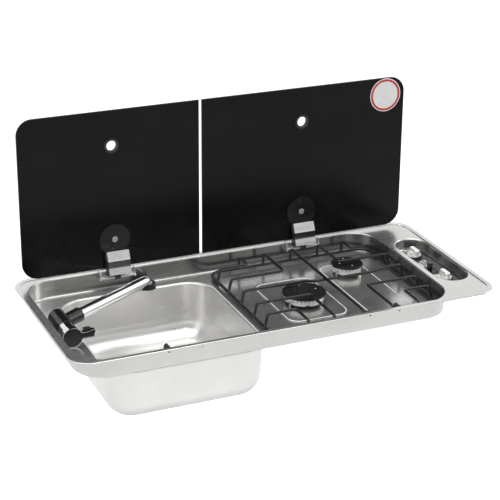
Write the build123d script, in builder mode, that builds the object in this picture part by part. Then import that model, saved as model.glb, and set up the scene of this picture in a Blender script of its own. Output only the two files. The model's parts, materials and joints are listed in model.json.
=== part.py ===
from build123d import *
import math
import os

# A built-in sink and two-burner hob for a camper worktop, with two glass lids.
# Millimetres. The origin is the centre of the worktop cut-out, on the worktop's
# top face: +X to the user's right, +Y to the back, +Z up.

# ---------------------------------------------------------------- driving sizes
SHEET = 0.8                 # stainless sheet of the pressings
UNIT_LENGTH = 900.0         # flange, left to right
UNIT_DEPTH = 410.0          # flange, front to back
UNIT_CORNER = 45.0          # flange corner radius
BEAD_WIDTH = 11.0           # raised bead round the flange
BEAD_HEIGHT = 3.0
BEAD_ROUND = 1.9
GROOVE_INSET = 1.4          # hollow under the bead, from the flange's edge
RIM_THICK = 3.0             # folded rim round the openings in the flange
RIM_ROUND = 2.5

TUB_LEFT = -430.0           # the recessed tub, inside faces
TUB_RIGHT = 352.0
TUB_FRONT = -192.0
TUB_BACK = 185.0
TUB_CORNER = 60.0
TUB_FLOOR = -39.0
TUB_FILLET = 5.0

BOWL_LEFT = -370.0          # the sink bowl's mouth in the tub floor
BOWL_RIGHT = -48.0
BOWL_FRONT = -187.5
BOWL_BACK = 151.0
BOWL_CORNER = 56.0
BOWL_BOTTOM = -149.0        # inside face of the bowl's floor
BOWL_TAPER = 3.0            # draft of the bowl's walls, degrees
BOWL_FILLET = 42.0
BOWL_LIP = 4.0              # rolled lip that the bowl is welded in by
WASTE_X = -209.0
WASTE_Y = -18.0
WASTE_HOLE_R = 22.0

POCKET_LEFT = 366.0         # the pocket that holds the controls
POCKET_RIGHT = 437.5
POCKET_FRONT = -124.0
POCKET_BACK = 107.0
POCKET_FLOOR = -26.0
POCKET_FILLET = 8.0
KNOB_X = 403.7
KNOB_Y = 64.0               # each knob's distance from the middle
BUTTON_Y = -3.0

WALL_HOLE_R = 1.8           # holes in the front wall for rubber stems
WALL_HOLE_Z = -6.7
BUMPER_HOLES_X = (-261.0, 224.0)
STOP_X = 159.8              # the pan support's front stop
VENT_X = -196.0             # half-round opening under the flange
VENT_R = 6.3
VENT_Z = -4.4
VENT_TOP = -1.2

BIG_X = 97.5                # burners: place, cap radius, port ring radius
BIG_Y = -27.0
BIG_CAP_R = 45.0
BIG_PORTS = 32
SMALL_X = 244.5
SMALL_Y = 70.0
SMALL_CAP_R = 33.8
SMALL_PORTS = 24
BURNER_STEP = 1.5           # raised island of the floor under each burner
ISLAND_CORNER = 25.0
BIG_ISLAND = (31.5, 162.5, -109.5, 82.0)
SMALL_ISLAND = (196.5, 293.5, -168.0, 118.0)
CROWN_BOTTOM = -30.5
CROWN_TOP = -17.0
CAP_TOP = -13.6
CUP_BOTTOM = -62.0

WIRE_R = 3.0                # pan support: bent round wire
FRAME_WIRE_R = 3.3          # and its frame
WIRE_BEND = 6.0
FRAME_CORNER = 24.0
GRATE_LEFT = -32.0          # its frame, wire centre lines
GRATE_RIGHT = 340.0
GRATE_FRONT = -176.0
GRATE_BACK = 163.0
GRATE_LOW = -31.5
GRATE_TOP = -5.0
GRATE_LEAN = 7.5            # how far the side legs lean in
BACK_PEAK = 160.5           # the back legs lean in by less

LID_FACE_Y = 181.7          # open lid: bottom edge of its front face
LID_FOOT_Z = 8.6
LID_TILT = 1.5              # degrees that an open lid leans back
LID_HEIGHT = 333.0
LID_THICK = 4.0
LID_CORNER = 33.0
LEFT_LID = (-428.3, -45.5)
RIGHT_LID = (-38.8, 427.6)
LEFT_HINGE_X = -232.4
RIGHT_HINGE_X = 188.6
FINGER_UP = 260.0           # finger hole, up the lid
FINGER_GLASS_R = 12.5
FINGER_R = 10.5
GROMMET_R = 15.5
DISC_UP = 61.0              # hinge disc, up the lid
DISC_R = 33.2
DISC_THICK = 2.5
SIGN_X = 383.0
SIGN_UP = 295.8
SIGN_R = 36.0

PIN_Y = 168.8               # hinge pin
PIN_Z = -8.9
PIN_R = 2.5
RUNNING = 0.05              # radial clearance of a running fit
BRACKET_HALF = 38.7         # bracket, half its length
BRACKET_FRONT = 170.8
BRACKET_BOTTOM = -12.5
BRACKET_SHEET = 1.5
NOTCH = 14.0                # notch in the bracket for the leaf's knuckle
KNUCKLE_R = 5.0
COVER_OFFSET = 4.9          # chrome cover, from the hinge disc's middle
COVER_WIDTH = 47.6

TAP_X = -401.0              # the tap's barrel lies along Y on the ledge
TAP_Z = -18.0
BARREL_R = 17.3
BARREL_BACK = 52.0
ELBOW_FRONT = -9.0
RING_FRONT = -38.0
LEVER_FRONT = -51.0
LEVER_R = 20.6
BARREL_CORE_R = 9.0
SPOUT_TURN = 29.9           # the spout's heading, degrees from +X to the back
SPOUT_Y = 26.3              # where its axis crosses the barrel's
SPOUT_DROP = -22.0          # height of the spout's axis
SPOUT_R = 12.0
SPOUT_BORE = 10.8
SPOUT_START = 53.3          # along its heading, from the barrel's axis
SPOUT_LENGTH = 271.5
SOCKET_R = 15.0
NOZZLE_R = 18.2
NOZZLE_TOP_R = 16.0
NOZZLE_HEIGHT = 12.0
NOZZLE_BOTTOM = -38.4

os.makedirs("parts", exist_ok=True)


# --------------------------------------------------------------------- helpers
def save(builder, name):
    """Label a finished piece and write it."""
    builder.part.label = name
    export_step(builder.part, f"parts/{name}.step")


def plane_y(y):
    """A plane that faces the front, with local axes X and Z."""
    return Plane(origin=(0, y, 0), x_dir=(1, 0, 0), z_dir=(0, -1, 0))


def plane_x(x):
    """A plane that faces right, with local axes Y and Z."""
    return Plane(origin=(x, 0, 0), x_dir=(0, 1, 0), z_dir=(1, 0, 0))


def rounded_block(sides, corner, top, bottom, grow=0.0, bottom_round=0.0, taper=0.0):
    """A block with rounded corners, from its top face down, grown outward."""
    left, right, front, back = sides
    length = right - left + 2 * grow
    depth = back - front + 2 * grow
    down = Plane(origin=(0, 0, top), x_dir=(1, 0, 0), z_dir=(0, 0, -1))
    with BuildPart() as block:
        with BuildSketch(down):
            with Locations(((left + right) / 2, -(front + back) / 2)):
                RectangleRounded(length, depth, corner + grow)
        extrude(amount=top - bottom, taper=taper)
        if bottom_round > 0:
            fillet(block.edges().group_by(Axis.Z)[0], bottom_round)
    return block.part


def outline_edges(part, sides, z):
    """The straight edges at one height that lie on a rectangle's sides."""
    left, right, front, back = sides
    middle_x = (left + right) / 2
    middle_y = (front + back) / 2
    spots = [(left, middle_y), (right, middle_y), (middle_x, front), (middle_x, back)]

    def on_side(edge):
        return any((edge.center() - Vector(x, y, z)).length < 1.0 for x, y in spots)

    return part.edges().filter_by(GeomType.LINE).filter_by(on_side)


def round_bar(points, radius, bend):
    """A round bar or tube's outside along straight runs joined by arcs."""
    with BuildPart() as bar:
        with BuildLine() as route:
            FilletPolyline(*points, radius=bend)
        path = route.wires()[0]
        with BuildSketch(Plane(origin=path @ 0, z_dir=path % 0)):
            Circle(radius)
        sweep(path=path)
    return bar.part


def rod(x, y, bottom, top, radius, hole=0.0):
    """An upright round rod or ring."""
    with BuildPart() as upright:
        with BuildSketch(Plane.XY.offset(bottom)):
            with Locations((x, y)):
                Circle(radius)
                if hole > 0:
                    Circle(hole, mode=Mode.SUBTRACT)
        extrude(amount=top - bottom)
    return upright.part


def rod_y(x, z, front, back, radius, hole=0.0):
    """A round rod or ring that lies along Y."""
    with BuildPart() as lying:
        with BuildSketch(plane_y(back)):
            with Locations((x, z)):
                Circle(radius)
                if hole > 0:
                    Circle(hole, mode=Mode.SUBTRACT)
        extrude(amount=back - front)
    return lying.part


def rod_x(y, z, left, right, radius, hole=0.0):
    """A round rod or ring that lies along X."""
    with BuildPart() as lying:
        with BuildSketch(plane_x(left)):
            with Locations((y, z)):
                Circle(radius)
                if hole > 0:
                    Circle(hole, mode=Mode.SUBTRACT)
        extrude(amount=right - left)
    return lying.part


# --------------------------------------------------- sink tray: flange and tub
TUB = (TUB_LEFT, TUB_RIGHT, TUB_FRONT, TUB_BACK)
BOWL = (BOWL_LEFT, BOWL_RIGHT, BOWL_FRONT, BOWL_BACK)
POCKET = (POCKET_LEFT, POCKET_RIGHT, POCKET_FRONT, POCKET_BACK)
POCKET_CORNER = (POCKET_RIGHT - POCKET_LEFT) / 2 - 0.01
FLANGE_TOP = SHEET
ABOVE = 10.0                # how far a cut runs past a face

tub_shell = rounded_block(TUB, TUB_CORNER, SHEET, TUB_FLOOR - SHEET, SHEET, TUB_FILLET + SHEET)
tub_rim = rounded_block(TUB, TUB_CORNER, SHEET, -RIM_THICK, RIM_THICK)
tub_space = rounded_block(TUB, TUB_CORNER, ABOVE, TUB_FLOOR, 0.0, TUB_FILLET)
pocket_shell = rounded_block(
    POCKET, POCKET_CORNER, SHEET, POCKET_FLOOR - SHEET, SHEET, POCKET_FILLET + SHEET
)
pocket_rim = rounded_block(POCKET, POCKET_CORNER, SHEET, -RIM_THICK, RIM_THICK)
pocket_space = rounded_block(POCKET, POCKET_CORNER, ABOVE, POCKET_FLOOR, 0.0, POCKET_FILLET)
bowl_mouth = rounded_block(
    BOWL, BOWL_CORNER, TUB_FLOOR + TUB_FILLET + 1, TUB_FLOOR - 2, BOWL_LIP
)
islands = [
    rounded_block(sides, ISLAND_CORNER, TUB_FLOOR + BURNER_STEP, TUB_FLOOR - SHEET)
    for sides in (BIG_ISLAND, SMALL_ISLAND)
]
island_hollows = [
    rounded_block(
        sides, ISLAND_CORNER, TUB_FLOOR + BURNER_STEP - SHEET, TUB_FLOOR - ABOVE, -SHEET
    )
    for sides in (BIG_ISLAND, SMALL_ISLAND)
]


def burner_sizes(cap_r):
    """Radii of one burner's other pieces, from its cap."""
    crown = cap_r * 0.9
    return {"crown": crown, "flange": crown - 1.5, "body": crown * 0.78, "bore": crown * 0.7}


BIG = burner_sizes(BIG_CAP_R)
SMALL = burner_sizes(SMALL_CAP_R)
BURNERS = (
    ("big", (BIG_X, BIG_Y), BIG_CAP_R, BIG, BIG_PORTS),
    ("small", (SMALL_X, SMALL_Y), SMALL_CAP_R, SMALL, SMALL_PORTS),
)
BURNER_SPOTS = ((BIG_X, BIG_Y, BIG), (SMALL_X, SMALL_Y, SMALL))
ELECTRODE_R = 2.6
PROBE_R = 2.0
PROBE_GAP = 4.0             # between a crown and the probe's axis beside it
ELECTRODE_ANGLE = -62.0
PROBE_ANGLE = 205.0
HOLE_GAP = 0.5              # room round what passes through the tray


def beside(x, y, sizes, angle):
    """The place of a probe beside the crown of the burner at x, y."""
    reach = sizes["crown"] + PROBE_GAP
    bearing = math.radians(angle)
    return x + reach * math.cos(bearing), y + reach * math.sin(bearing)


TAP_HOLE_R = 11.0
TAP_HOLE_Y = 20.0

with BuildPart() as sink_tray:
    with BuildSketch():
        RectangleRounded(UNIT_LENGTH, UNIT_DEPTH, UNIT_CORNER)
    extrude(amount=BEAD_HEIGHT)
    with BuildSketch(Plane.XY.offset(FLANGE_TOP)):
        RectangleRounded(
            UNIT_LENGTH - 2 * BEAD_WIDTH, UNIT_DEPTH - 2 * BEAD_WIDTH, UNIT_CORNER - BEAD_WIDTH
        )
    extrude(amount=ABOVE, mode=Mode.SUBTRACT)
    fillet(sink_tray.edges().group_by(Axis.Z)[-1], BEAD_ROUND)
    with BuildSketch():
        RectangleRounded(
            UNIT_LENGTH - 2 * GROOVE_INSET,
            UNIT_DEPTH - 2 * GROOVE_INSET,
            UNIT_CORNER - GROOVE_INSET,
        )
        inner_inset = BEAD_WIDTH - GROOVE_INSET
        RectangleRounded(
            UNIT_LENGTH - 2 * inner_inset,
            UNIT_DEPTH - 2 * inner_inset,
            UNIT_CORNER - inner_inset,
            mode=Mode.SUBTRACT,
        )
    extrude(amount=BEAD_HEIGHT - SHEET, mode=Mode.SUBTRACT)
    add(tub_shell)
    add(tub_rim)
    add(pocket_shell)
    add(pocket_rim)
    add(tub_space, mode=Mode.SUBTRACT)
    add(pocket_space, mode=Mode.SUBTRACT)
    fillet(outline_edges(sink_tray.part, TUB, FLANGE_TOP), RIM_ROUND)
    fillet(outline_edges(sink_tray.part, POCKET, FLANGE_TOP), RIM_ROUND)
    add(bowl_mouth, mode=Mode.SUBTRACT)
    for island in islands:
        add(island)
    for sides in (BIG_ISLAND, SMALL_ISLAND):
        fillet(outline_edges(sink_tray.part, sides, TUB_FLOOR + BURNER_STEP), BURNER_STEP * 0.8)
    for hollow in island_hollows:
        add(hollow, mode=Mode.SUBTRACT)
    for burner_x, burner_y, sizes in BURNER_SPOTS:
        with BuildSketch(Plane.XY.offset(TUB_FLOOR + ABOVE)):
            with Locations((burner_x, burner_y)):
                Circle(sizes["body"] + HOLE_GAP)
            with Locations(beside(burner_x, burner_y, sizes, ELECTRODE_ANGLE)):
                Circle(ELECTRODE_R + HOLE_GAP)
            with Locations(beside(burner_x, burner_y, sizes, PROBE_ANGLE)):
                Circle(PROBE_R + HOLE_GAP)
        extrude(amount=-2 * ABOVE, mode=Mode.SUBTRACT)
    with BuildSketch(Plane.XY.offset(TUB_FLOOR + 1)):
        with Locations((TAP_X, TAP_HOLE_Y)):
            Circle(TAP_HOLE_R)
    extrude(amount=-3, mode=Mode.SUBTRACT)
    with BuildSketch(Plane.XY.offset(POCKET_FLOOR + 1)):
        with Locations((KNOB_X, KNOB_Y), (KNOB_X, -KNOB_Y), (KNOB_X, BUTTON_Y)):
            Circle(5.0)
    extrude(amount=-3, mode=Mode.SUBTRACT)
    with BuildSketch(plane_y(TUB_FRONT + 1)):
        with Locations(*[(x, WALL_HOLE_Z) for x in BUMPER_HOLES_X + (STOP_X,)]):
            Circle(WALL_HOLE_R)
        with Locations((VENT_X, VENT_Z)):
            Circle(VENT_R)
        with Locations((VENT_X, VENT_TOP + VENT_R)):
            Rectangle(2 * VENT_R, 2 * VENT_R, mode=Mode.SUBTRACT)
    extrude(amount=5, mode=Mode.SUBTRACT)
save(sink_tray, "sink_tray")

# ------------------------------------------------------------------- sink bowl
bowl_shell = rounded_block(
    BOWL, BOWL_CORNER, TUB_FLOOR, BOWL_BOTTOM - SHEET, SHEET, BOWL_FILLET + SHEET, BOWL_TAPER
)
bowl_lip = rounded_block(BOWL, BOWL_CORNER, TUB_FLOOR, TUB_FLOOR - BOWL_LIP, BOWL_LIP)
bowl_space = rounded_block(
    BOWL, BOWL_CORNER, TUB_FLOOR, BOWL_BOTTOM, 0.0, BOWL_FILLET, BOWL_TAPER
)
with BuildPart() as sink_bowl:
    add(bowl_shell)
    add(bowl_lip)
    add(bowl_space, mode=Mode.SUBTRACT)
    fillet(outline_edges(sink_bowl.part, BOWL, TUB_FLOOR), BOWL_LIP - 0.6)
    with BuildSketch(Plane.XY.offset(BOWL_BOTTOM + ABOVE)):
        with Locations((WASTE_X, WASTE_Y)):
            Circle(WASTE_HOLE_R)
    extrude(amount=-2 * ABOVE, mode=Mode.SUBTRACT)
save(sink_bowl, "sink_bowl")

# --------------------------------------------------------------- waste fitting
STRAINER_FLANGE_R = 33.0
STRAINER_THICK = 1.5
WASTE_UNDER = BOWL_BOTTOM - SHEET
SEAL_THICK = 3.0
WASTE_BODY_TOP = WASTE_UNDER - SEAL_THICK
WASTE_BODY_LOW = BOWL_BOTTOM - 29.0
WASTE_TAIL_LOW = WASTE_BODY_LOW - 30.0
WASTE_TAIL_R = 12.5
with BuildPart() as waste_strainer:
    add(rod(WASTE_X, WASTE_Y, BOWL_BOTTOM, BOWL_BOTTOM + STRAINER_THICK, STRAINER_FLANGE_R))
    add(rod(WASTE_X, WASTE_Y, WASTE_BODY_TOP - 6, BOWL_BOTTOM, WASTE_HOLE_R - 0.3))
    fillet(waste_strainer.edges().group_by(Axis.Z)[-1], 1.0)
    with BuildSketch(Plane.XY.offset(BOWL_BOTTOM + STRAINER_THICK)):
        with Locations((WASTE_X, WASTE_Y)):
            Circle(19.5)
    extrude(amount=-4, mode=Mode.SUBTRACT)
    with BuildSketch(Plane.XY.offset(BOWL_BOTTOM)):
        with Locations((WASTE_X, WASTE_Y)):
            with PolarLocations(13.5, 10):
                Circle(2.4)
            with PolarLocations(6.5, 5):
                Circle(2.0)
    extrude(amount=-20, mode=Mode.SUBTRACT)
save(waste_strainer, "waste_strainer")

with BuildPart() as waste_seal:
    add(rod(WASTE_X, WASTE_Y, WASTE_BODY_TOP, WASTE_UNDER, 31.0, WASTE_HOLE_R))
save(waste_seal, "waste_seal")

with BuildPart() as waste_body:
    add(rod(WASTE_X, WASTE_Y, WASTE_BODY_TOP - 5, WASTE_BODY_TOP, STRAINER_FLANGE_R))
    add(rod(WASTE_X, WASTE_Y, WASTE_BODY_LOW, WASTE_BODY_TOP, 27.0))
    add(rod(WASTE_X, WASTE_Y, WASTE_TAIL_LOW, WASTE_BODY_LOW, WASTE_TAIL_R))
    add(rod(WASTE_X, WASTE_Y, WASTE_BODY_LOW + 3, WASTE_BODY_TOP, 24.0), mode=Mode.SUBTRACT)
    add(rod(WASTE_X, WASTE_Y, WASTE_TAIL_LOW, WASTE_BODY_LOW + 4, 10.5), mode=Mode.SUBTRACT)
save(waste_body, "waste_body")

# ----------------------------------------------------- sealing strip under bead
with BuildPart() as flange_seal:
    with BuildSketch():
        outer_inset = GROOVE_INSET + 1.0
        RectangleRounded(
            UNIT_LENGTH - 2 * outer_inset, UNIT_DEPTH - 2 * outer_inset, UNIT_CORNER - outer_inset
        )
        inner_inset = BEAD_WIDTH - GROOVE_INSET - 1.0
        RectangleRounded(
            UNIT_LENGTH - 2 * inner_inset,
            UNIT_DEPTH - 2 * inner_inset,
            UNIT_CORNER - inner_inset,
            mode=Mode.SUBTRACT,
        )
    extrude(amount=BEAD_HEIGHT - SHEET)
save(flange_seal, "flange_seal")

# --------------------------------------------------------------------- burners
CAP_EDGE = 2.4              # height of a cap's edge
CAP_FLAT = 6.0              # radius of the flat at a cap's middle
PORT_DEPTH = 7.0            # flame slots in a crown
FOOT_NOTCH = 3.5            # notches under a crown
for name, (burner_x, burner_y), cap_r, sizes, ports in BURNERS:
    floor = TUB_FLOOR + BURNER_STEP
    with BuildPart() as cup:
        add(rod(burner_x, burner_y, floor, CROWN_BOTTOM, sizes["flange"]))
        add(rod(burner_x, burner_y, CUP_BOTTOM, floor, sizes["body"]))
        add(
            rod(burner_x, burner_y, CUP_BOTTOM + 2, CROWN_BOTTOM, sizes["bore"]),
            mode=Mode.SUBTRACT,
        )
        add(rod(burner_x, burner_y, CUP_BOTTOM, CUP_BOTTOM + 2, 3.0), mode=Mode.SUBTRACT)
    save(cup, f"{name}_burner_cup")

    with BuildPart() as crown:
        add(rod(burner_x, burner_y, CROWN_BOTTOM, CROWN_TOP, sizes["crown"], sizes["bore"]))
        chamfer(crown.edges().group_by(Axis.Z)[-1].sort_by(Edge.length)[-1], 1.2)
        with BuildSketch(Plane.XY.offset(CROWN_TOP)):
            with Locations((burner_x, burner_y)):
                with PolarLocations((sizes["crown"] + sizes["bore"]) / 2, ports):
                    Rectangle(20, 1.8)
        extrude(amount=-PORT_DEPTH, mode=Mode.SUBTRACT)
        with BuildSketch(Plane.XY.offset(CROWN_BOTTOM)):
            with Locations((burner_x, burner_y)):
                with PolarLocations(sizes["crown"], 6, start_angle=15):
                    Rectangle(7, 9)
        extrude(amount=FOOT_NOTCH, mode=Mode.SUBTRACT)
    save(crown, f"{name}_burner_crown")

    with BuildPart() as cap:
        with BuildSketch(Plane.XZ.offset(-burner_y)):
            with BuildLine():
                rim = burner_x + cap_r
                rim_top = CROWN_TOP + CAP_EDGE
                Polyline(
                    (burner_x + CAP_FLAT, CAP_TOP),
                    (burner_x, CAP_TOP),
                    (burner_x, CROWN_TOP),
                    (rim, CROWN_TOP),
                    (rim, rim_top - 1),
                    (rim - 1, rim_top),
                )
                ThreePointArc(
                    (rim - 1, rim_top),
                    (burner_x + 0.6 * cap_r, 0.35 * rim_top + 0.65 * CAP_TOP),
                    (burner_x + CAP_FLAT, CAP_TOP),
                )
            make_face()
        revolve(axis=Axis((burner_x, burner_y, 0), (0, 0, 1)))
    save(cap, f"{name}_burner_cap")

INJECTOR_LOW = -78.0
with BuildPart() as injectors:
    for burner_x, burner_y, _ in BURNER_SPOTS:
        add(rod(burner_x, burner_y, INJECTOR_LOW, CUP_BOTTOM, 8.0, 1.0))
save(injectors, "injectors")

with BuildPart() as electrodes:
    for burner_x, burner_y, sizes in BURNER_SPOTS:
        probe_x, probe_y = beside(burner_x, burner_y, sizes, ELECTRODE_ANGLE)
        add(rod(probe_x, probe_y, -58.0, -27.0, ELECTRODE_R))
        add(rod(probe_x, probe_y, -27.0, -20.0, 0.9))
save(electrodes, "electrodes")

with BuildPart() as thermocouples:
    for burner_x, burner_y, sizes in BURNER_SPOTS:
        probe_x, probe_y = beside(burner_x, burner_y, sizes, PROBE_ANGLE)
        add(rod(probe_x, probe_y, -58.0, -24.0, PROBE_R))
        add(rod(probe_x, probe_y, -44.0, -41.0, 4.5))
save(thermocouples, "thermocouples")

# ----------------------------------------------------------- gas pipes and taps
VALVE_HALF = 14.0
VALVE_TOP = POCKET_FLOOR - SHEET
VALVE_LOW = -56.0
VALVE_BORE_R = 6.0
SPINDLE_R = 4.0
SPINDLE_LOW = -46.0
COLLAR_LOW = -42.0
COLLAR_HIGH = -39.0
OUTLET_Z = -46.0
PIPE_R = 3.0
PIPE_BEND = 18.0
RAIL_SIZE = 12.0
RAIL_FRONT = -74.0
RAIL_BACK = 150.0
INLET_R = 4.0
INLET_END = 186.0
KNOB_LOW = -19.5
KNOB_TOP = -4.0
PUSH = 3.0                  # travel of a knob or the button when pressed
VALVES = (("front", -KNOB_Y), ("rear", KNOB_Y))

with BuildPart() as gas_rail:
    with BuildSketch(plane_y(RAIL_BACK)):
        with Locations((KNOB_X, VALVE_LOW - RAIL_SIZE / 2)):
            RectangleRounded(RAIL_SIZE, RAIL_SIZE, 2.0)
    extrude(amount=RAIL_BACK - RAIL_FRONT)
    add(rod_y(KNOB_X, VALVE_LOW - RAIL_SIZE / 2, RAIL_BACK, INLET_END, INLET_R))
save(gas_rail, "gas_rail")

for name, valve_y in VALVES:
    with BuildPart() as valve:
        with BuildSketch(Plane.XY.offset(VALVE_LOW)):
            with Locations((KNOB_X, valve_y)):
                RectangleRounded(2 * VALVE_HALF, 2 * VALVE_HALF, 3.0)
        extrude(amount=VALVE_TOP - 8 - VALVE_LOW)
        add(rod(KNOB_X, valve_y, VALVE_TOP - 8, VALVE_TOP, 9.0))
        add(
            rod(KNOB_X, valve_y, VALVE_LOW + 4, VALVE_TOP - 4, VALVE_BORE_R), mode=Mode.SUBTRACT
        )
        add(
            rod(KNOB_X, valve_y, VALVE_TOP - 5, VALVE_TOP, SPINDLE_R + RUNNING),
            mode=Mode.SUBTRACT,
        )
    save(valve, f"{name}_valve")

    with BuildPart() as collar:
        add(
            rod(
                KNOB_X, valve_y, COLLAR_LOW, COLLAR_HIGH,
                VALVE_BORE_R - RUNNING, SPINDLE_R + RUNNING,
            )
        )
    save(collar, f"{name}_valve_collar")

    with BuildPart() as spindle:
        add(rod(KNOB_X, valve_y, SPINDLE_LOW, COLLAR_LOW - RUNNING, 5.2))
        add(rod(KNOB_X, valve_y, COLLAR_LOW - RUNNING, KNOB_TOP - 6, SPINDLE_R))
        add(rod(KNOB_X, valve_y, COLLAR_HIGH + RUNNING, COLLAR_HIGH + 2, 5.2))
    save(spindle, f"{name}_spindle")

    with BuildPart() as knob:
        with BuildSketch(Plane.XY.offset(KNOB_LOW)):
            with Locations((KNOB_X, valve_y)):
                Circle(14.5)
        extrude(amount=3.0)
        with BuildSketch(Plane.XY.offset(KNOB_LOW + 2.5)):
            with Locations((KNOB_X, valve_y)):
                SlotOverall(31.0, 14.0, rotation=90)
        extrude(amount=KNOB_TOP - KNOB_LOW - 2.5, taper=4)
        fillet(knob.edges().group_by(Axis.Z)[-1], 2.6)
        add(rod(KNOB_X, valve_y, KNOB_LOW, KNOB_TOP - 6, SPINDLE_R), mode=Mode.SUBTRACT)
    save(knob, f"{name}_knob")

with BuildPart() as knob_bezels:
    for valve_y in (KNOB_Y, -KNOB_Y):
        add(rod(KNOB_X, valve_y, POCKET_FLOOR, POCKET_FLOOR + 3, 18.0, 5.0))
    fillet(knob_bezels.edges().group_by(Axis.Z)[-1].sort_by(Edge.length)[-2:], 1.2)
    with BuildSketch(Plane.XY.offset(POCKET_FLOOR)):
        with Locations((KNOB_X, BUTTON_Y - 6)):
            RectangleRounded(19, 34, 4)
        with Locations((KNOB_X, BUTTON_Y)):
            Circle(5.0, mode=Mode.SUBTRACT)
    extrude(amount=2.2)
save(knob_bezels, "knob_bezels")

with BuildPart() as control_plate:
    with BuildSketch(Plane.XY.offset(POCKET_FLOOR)):
        with Locations((KNOB_X + 9, 28.0)):
            RectangleRounded(15, 30, 2)
            RectangleRounded(9, 24, 1.5, mode=Mode.SUBTRACT)
    extrude(amount=2.0)
    fillet(control_plate.edges().group_by(Axis.Z)[-1], 0.6)
save(control_plate, "control_plate")

BUTTON_LOW = POCKET_FLOOR + 2.2 + PUSH + 0.4
BUTTON_TOP = -9.5
MODULE_LOW = -54.0
with BuildPart() as igniter_button:
    add(rod(KNOB_X, BUTTON_Y, BUTTON_LOW, BUTTON_TOP, 6.5))
    fillet(igniter_button.edges().group_by(Axis.Z)[-1], 1.2)
    add(rod(KNOB_X, BUTTON_Y, MODULE_LOW + 8, BUTTON_LOW, 3.0))
save(igniter_button, "igniter_button")

with BuildPart() as igniter_module:
    with BuildSketch(Plane.XY.offset(MODULE_LOW)):
        with Locations((KNOB_X, BUTTON_Y)):
            RectangleRounded(30, 34, 3)
    extrude(amount=VALVE_TOP - MODULE_LOW)
    add(
        rod(KNOB_X, BUTTON_Y, MODULE_LOW + 4, VALVE_TOP, 3.0 + RUNNING), mode=Mode.SUBTRACT
    )
save(igniter_module, "igniter_module")

PIPE_Z = INJECTOR_LOW + 6
pipe_start = KNOB_X - VALVE_HALF
big_route = [
    (pipe_start, -KNOB_Y, OUTLET_Z),
    (pipe_start - 24, -KNOB_Y, OUTLET_Z),
    (pipe_start - 60, -KNOB_Y - 12, PIPE_Z),
    (BIG_X + 60, BIG_Y, PIPE_Z),
    (BIG_X + 8.0, BIG_Y, PIPE_Z),
]
small_route = [
    (pipe_start, KNOB_Y, OUTLET_Z),
    (pipe_start - 24, KNOB_Y, OUTLET_Z),
    (pipe_start - 60, KNOB_Y + 4, PIPE_Z),
    (SMALL_X + 40, SMALL_Y, PIPE_Z),
    (SMALL_X + 8.0, SMALL_Y, PIPE_Z),
]
with BuildPart() as big_burner_pipe:
    add(round_bar(big_route, PIPE_R, PIPE_BEND))
    add(rod_x(-KNOB_Y, OUTLET_Z, pipe_start - 8, pipe_start, 6.0))
save(big_burner_pipe, "big_burner_pipe")
with BuildPart() as small_burner_pipe:
    add(round_bar(small_route, PIPE_R, PIPE_BEND))
    add(rod_x(KNOB_Y, OUTLET_Z, pipe_start - 8, pipe_start, 6.0))
save(small_burner_pipe, "small_burner_pipe")

# ----------------------------------------------------------------- pan support
ARM_X = (36.7, 93.0)                    # left bars that run front to back
ARM_X_RIGHT = (221.0, 279.0)            # right bars
ARM_Y_BACK = (119.0, 62.0)              # back bars that run left to right
ARM_Y_FRONT = (-116.0, -64.0)           # front bars
LONG_X = 157.0                          # bar across the whole depth
CROSS_Y = 0.0                           # bar across the whole length
CROSS_DIP = 5.2                         # the cross bar ducks under the long bar


def corner_bar(bar_x, bar_y):
    """One bent bar: up from a side of the frame, along, and down to front or back."""
    left = bar_x < LONG_X
    side = GRATE_LEFT if left else GRATE_RIGHT
    lean = GRATE_LEAN if left else -GRATE_LEAN
    end = GRATE_BACK if bar_y > CROSS_Y else GRATE_FRONT
    peak = BACK_PEAK if bar_y > CROSS_Y else GRATE_FRONT + 2.5
    return [
        (side, bar_y - 4, GRATE_LOW),
        (side + lean, bar_y, GRATE_TOP),
        (bar_x, bar_y, GRATE_TOP),
        (bar_x, peak, GRATE_TOP),
        (bar_x, end, GRATE_LOW),
    ]


bars = [
    corner_bar(bar_x, bar_y)
    for bar_x, bar_y in (
        (ARM_X[0], ARM_Y_BACK[0]),
        (ARM_X[1], ARM_Y_BACK[1]),
        (ARM_X[0], ARM_Y_FRONT[0]),
        (ARM_X[1], ARM_Y_FRONT[1]),
        (ARM_X_RIGHT[0], ARM_Y_BACK[1]),
        (ARM_X_RIGHT[1], ARM_Y_BACK[0]),
        (ARM_X_RIGHT[0], ARM_Y_FRONT[1]),
        (ARM_X_RIGHT[1], ARM_Y_FRONT[0]),
    )
]
long_bar = [
    (LONG_X, GRATE_BACK, GRATE_LOW),
    (LONG_X, BACK_PEAK, GRATE_TOP),
    (LONG_X, GRATE_FRONT + 2.5, GRATE_TOP),
    (LONG_X, GRATE_FRONT, GRATE_LOW),
]
cross_bar = [
    (GRATE_LEFT, CROSS_Y - 6, GRATE_LOW),
    (GRATE_LEFT + GRATE_LEAN, CROSS_Y, GRATE_TOP),
    (LONG_X - 45, CROSS_Y, GRATE_TOP),
    (LONG_X - 18, CROSS_Y, GRATE_TOP - CROSS_DIP),
    (LONG_X + 110, CROSS_Y, GRATE_TOP - CROSS_DIP),
    (LONG_X + 140, CROSS_Y, GRATE_TOP),
    (GRATE_RIGHT - GRATE_LEAN, CROSS_Y, GRATE_TOP),
    (GRATE_RIGHT, CROSS_Y + 4, GRATE_LOW),
]
bar_parts = [round_bar(points, WIRE_R, WIRE_BEND) for points in bars + [long_bar, cross_bar]]

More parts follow.
